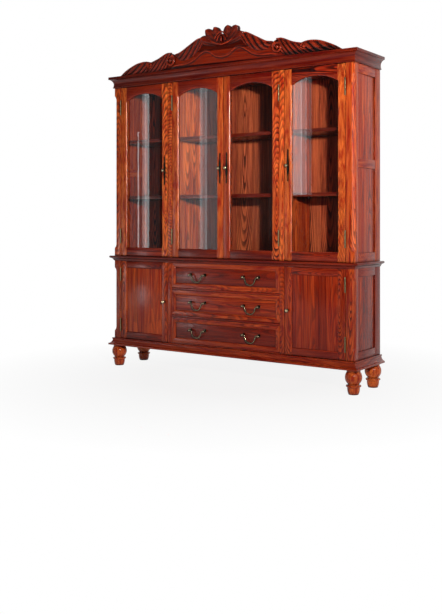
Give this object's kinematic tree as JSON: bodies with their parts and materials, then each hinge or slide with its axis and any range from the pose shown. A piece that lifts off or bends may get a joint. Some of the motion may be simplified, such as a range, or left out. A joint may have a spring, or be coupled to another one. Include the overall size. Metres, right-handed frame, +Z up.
{
  "type": "bookcase with glass doors",
  "caption": "Tall wooden bookcase with arched glass doors over a base of panelled cupboards and drawers, on turned feet, under a carved crest.",
  "frame": {"origin": "on the floor, in the middle of the width and depth over the mouldings", "axes": "+X to the right seen from the front, +Y to the back, +Z up"},
  "size_m": [2.013, 0.395, 2.353],
  "materials": {
    "stained_wood": "red-brown stain under satin lacquer, open grain",
    "back_wood": "red-brown stain, satin",
    "drawer_wood": "plain sealed pale wood",
    "clear_glass": "clear",
    "antique_bronze": "darkened, rubbed bright on high places",
    "hinge_brass": "aged satin",
    "fitting_steel": "zinc plated"
  },
  "bodies": {
    "case": {"turned_feet": "stained_wood", "plinth_frame": "stained_wood", "base_corner_posts": "stained_wood", "base_side_frames": "stained_wood", "base_side_panels": "stained_wood", "base_partitions": "stained_wood", "base_bottom_board": "stained_wood", "base_back_panel": "back_wood", "waist_board": "stained_wood", "waist_moulding": "stained_wood", "hutch_corner_posts": "stained_wood", "hutch_side_frames": "stained_wood", "hutch_side_panels": "stained_wood", "hutch_partitions": "stained_wood", "hutch_floor_and_top": "stained_wood", "hutch_back_boards": "back_wood", "shelves": "stained_wood", "shelf_pins": "fitting_steel", "cornice_moulding": "stained_wood", "hinge_fixed_leaves": "hinge_brass", "hinge_pins": "hinge_brass", "door_catches": "fitting_steel", "drawer_rails": "stained_wood", "drawer_runners": "drawer_wood", "crest_board": "stained_wood", "crest_leaves": "stained_wood", "crest_shell": "stained_wood"},
    "glass_door_1": {"glass_door_1_frame": "stained_wood", "glass_door_1_pane": "clear_glass", "glass_door_1_hardware": "antique_bronze"},
    "glass_door_2": {"glass_door_2_frame": "stained_wood", "glass_door_2_pane": "clear_glass", "glass_door_2_hardware": "antique_bronze"},
    "glass_door_3": {"glass_door_3_frame": "stained_wood", "glass_door_3_pane": "clear_glass", "glass_door_3_hardware": "antique_bronze"},
    "glass_door_4": {"glass_door_4_frame": "stained_wood", "glass_door_4_pane": "clear_glass", "glass_door_4_hardware": "antique_bronze"},
    "lower_door_left": {"lower_door_left_frame": "stained_wood", "lower_door_left_panel": "stained_wood", "lower_door_left_hardware": "antique_bronze"},
    "lower_door_right": {"lower_door_right_frame": "stained_wood", "lower_door_right_panel": "stained_wood", "lower_door_right_hardware": "antique_bronze"},
    "drawer_bottom": {"drawer_bottom_front": "stained_wood", "drawer_bottom_box": "drawer_wood", "drawer_bottom_pull_posts": "antique_bronze"},
    "drawer_bottom_bail_left": {"drawer_bottom_bail_left": "antique_bronze"},
    "drawer_bottom_bail_right": {"drawer_bottom_bail_right": "antique_bronze"},
    "drawer_middle": {"drawer_middle_front": "stained_wood", "drawer_middle_box": "drawer_wood", "drawer_middle_pull_posts": "antique_bronze"},
    "drawer_middle_bail_left": {"drawer_middle_bail_left": "antique_bronze"},
    "drawer_middle_bail_right": {"drawer_middle_bail_right": "antique_bronze"},
    "drawer_top": {"drawer_top_front": "stained_wood", "drawer_top_box": "drawer_wood", "drawer_top_pull_posts": "antique_bronze"},
    "drawer_top_bail_left": {"drawer_top_bail_left": "antique_bronze"},
    "drawer_top_bail_right": {"drawer_top_bail_right": "antique_bronze"}
  },
  "joints": [
    {"name": "glass_door_1_hinge", "type": "hinge", "parent": "case", "child": "glass_door_1", "pos_m": [-0.912, -0.1693, 1.41], "axis": [0, 0, -1], "range_deg": [0, 110]},
    {"name": "glass_door_2_hinge", "type": "hinge", "parent": "case", "child": "glass_door_2", "pos_m": [-0.4365, -0.1693, 1.41], "axis": [0, 0, -1], "range_deg": [0, 110]},
    {"name": "glass_door_3_hinge", "type": "hinge", "parent": "case", "child": "glass_door_3", "pos_m": [0.4365, -0.1693, 1.41], "axis": [0, 0, 1], "range_deg": [0, 110]},
    {"name": "glass_door_4_hinge", "type": "hinge", "parent": "case", "child": "glass_door_4", "pos_m": [0.912, -0.1693, 1.41], "axis": [0, 0, 1], "range_deg": [0, 110]},
    {"name": "lower_door_left_hinge", "type": "hinge", "parent": "case", "child": "lower_door_left", "pos_m": [-0.912, -0.1693, 0.484], "axis": [0, 0, -1], "range_deg": [0, 110]},
    {"name": "lower_door_right_hinge", "type": "hinge", "parent": "case", "child": "lower_door_right", "pos_m": [0.912, -0.1693, 0.484], "axis": [0, 0, 1], "range_deg": [0, 110]},
    {"name": "drawer_bottom_slide", "type": "slide", "parent": "case", "child": "drawer_bottom", "axis": [0, -1, 0], "range_m": [0, 0.26]},
    {"name": "drawer_bottom_bail_left_swing", "type": "hinge", "parent": "drawer_bottom", "child": "drawer_bottom_bail_left", "pos_m": [-0.219, -0.1735, 0.30633], "axis": [-1, 0, 0], "range_deg": [0, 85]},
    {"name": "drawer_bottom_bail_right_swing", "type": "hinge", "parent": "drawer_bottom", "child": "drawer_bottom_bail_right", "pos_m": [0.219, -0.1735, 0.30633], "axis": [-1, 0, 0], "range_deg": [0, 85]},
    {"name": "drawer_middle_slide", "type": "slide", "parent": "case", "child": "drawer_middle", "axis": [0, -1, 0], "range_m": [0, 0.26]},
    {"name": "drawer_middle_bail_left_swing", "type": "hinge", "parent": "drawer_middle", "child": "drawer_middle_bail_left", "pos_m": [-0.219, -0.1735, 0.496], "axis": [-1, 0, 0], "range_deg": [0, 85]},
    {"name": "drawer_middle_bail_right_swing", "type": "hinge", "parent": "drawer_middle", "child": "drawer_middle_bail_right", "pos_m": [0.219, -0.1735, 0.496], "axis": [-1, 0, 0], "range_deg": [0, 85]},
    {"name": "drawer_top_slide", "type": "slide", "parent": "case", "child": "drawer_top", "axis": [0, -1, 0], "range_m": [0, 0.26]},
    {"name": "drawer_top_bail_left_swing", "type": "hinge", "parent": "drawer_top", "child": "drawer_top_bail_left", "pos_m": [-0.219, -0.1735, 0.68567], "axis": [-1, 0, 0], "range_deg": [0, 85]},
    {"name": "drawer_top_bail_right_swing", "type": "hinge", "parent": "drawer_top", "child": "drawer_top_bail_right", "pos_m": [0.219, -0.1735, 0.68567], "axis": [-1, 0, 0], "range_deg": [0, 85]}
  ]
}
